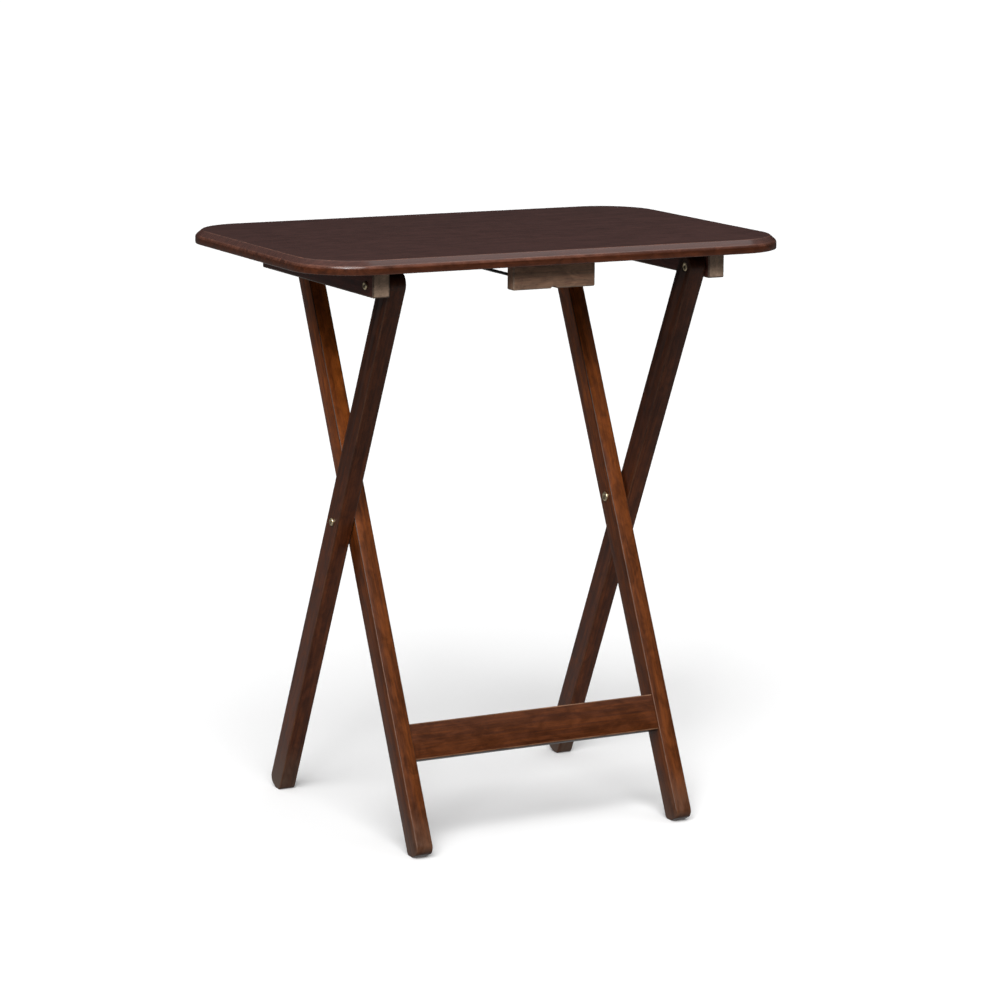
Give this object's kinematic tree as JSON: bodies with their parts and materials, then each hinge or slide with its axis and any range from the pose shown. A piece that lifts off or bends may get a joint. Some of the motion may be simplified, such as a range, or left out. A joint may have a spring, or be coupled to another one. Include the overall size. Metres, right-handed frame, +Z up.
{
  "type": "folding tray table",
  "caption": "Small folding table: a rectangular wooden top with rounded corners on two crossed pairs of legs that scissor shut under it.",
  "frame": {"origin": "centre of the bounding box's bottom face, on the floor midway between the feet", "axes": "+X along the long edge of the top, to the right as seen from the front; +Y to the back; +Z up"},
  "size_m": [0.584, 0.386, 0.656],
  "materials": {
    "stained_top": "dark espresso stain under satin lacquer",
    "stained_legs": "warm brown stain under satin lacquer",
    "thin_stained_cleats": "thin grey-brown stain, little lacquer",
    "bare_dowels": "bare hardwood",
    "brass_plated_hardware": "brass plating, slightly dull",
    "black_steel": "black paint",
    "zinc_screws": "zinc plating",
    "dark_nylon": "moulded nylon"
  },
  "bodies": {
    "outer_frame": {"outer_leg_left": "stained_legs", "outer_leg_right": "stained_legs", "cross_bolt_left": "brass_plated_hardware", "cross_bolt_right": "brass_plated_hardware", "cross_sleeve_nut_left": "brass_plated_hardware", "cross_sleeve_nut_right": "brass_plated_hardware", "cross_washer_left": "dark_nylon", "cross_washer_right": "dark_nylon", "top_pivot_bolt_left": "brass_plated_hardware", "top_pivot_bolt_right": "brass_plated_hardware", "top_pivot_sleeve_nut_left": "brass_plated_hardware", "top_pivot_sleeve_nut_right": "brass_plated_hardware", "top_pivot_washer_left": "dark_nylon", "top_pivot_washer_right": "dark_nylon"},
    "inner_frame": {"inner_leg_left": "stained_legs", "inner_leg_right": "stained_legs", "foot_stretcher": "stained_legs", "cross_rod": "black_steel", "stretcher_dowel_left_upper": "bare_dowels", "stretcher_dowel_left_lower": "bare_dowels", "stretcher_dowel_right_upper": "bare_dowels", "stretcher_dowel_right_lower": "bare_dowels"},
    "top": {"tabletop": "stained_top", "cleat_left": "thin_stained_cleats", "cleat_right": "thin_stained_cleats", "front_block": "thin_stained_cleats", "stay_wire": "black_steel", "cleat_screw_left_front": "zinc_screws", "cleat_screw_left_back": "zinc_screws", "cleat_screw_right_front": "zinc_screws", "cleat_screw_right_back": "zinc_screws", "block_screw_left": "zinc_screws", "block_screw_right": "zinc_screws"}
  },
  "joints": [
    {"name": "leg_fold", "type": "hinge", "parent": "outer_frame", "child": "inner_frame", "pos_m": [0, -0.01, 0.34442], "axis": [1, 0, 0], "range_deg": [0, 50.8]},
    {"name": "top_hinge", "type": "hinge", "parent": "outer_frame", "child": "top", "pos_m": [0, -0.14275, 0.624], "axis": [1, 0, 0], "range_deg": [0, 25.4]}
  ],
  "couplings": [
    {"joint": "top_hinge", "follows": "leg_fold", "ratio": 0.5}
  ]
}
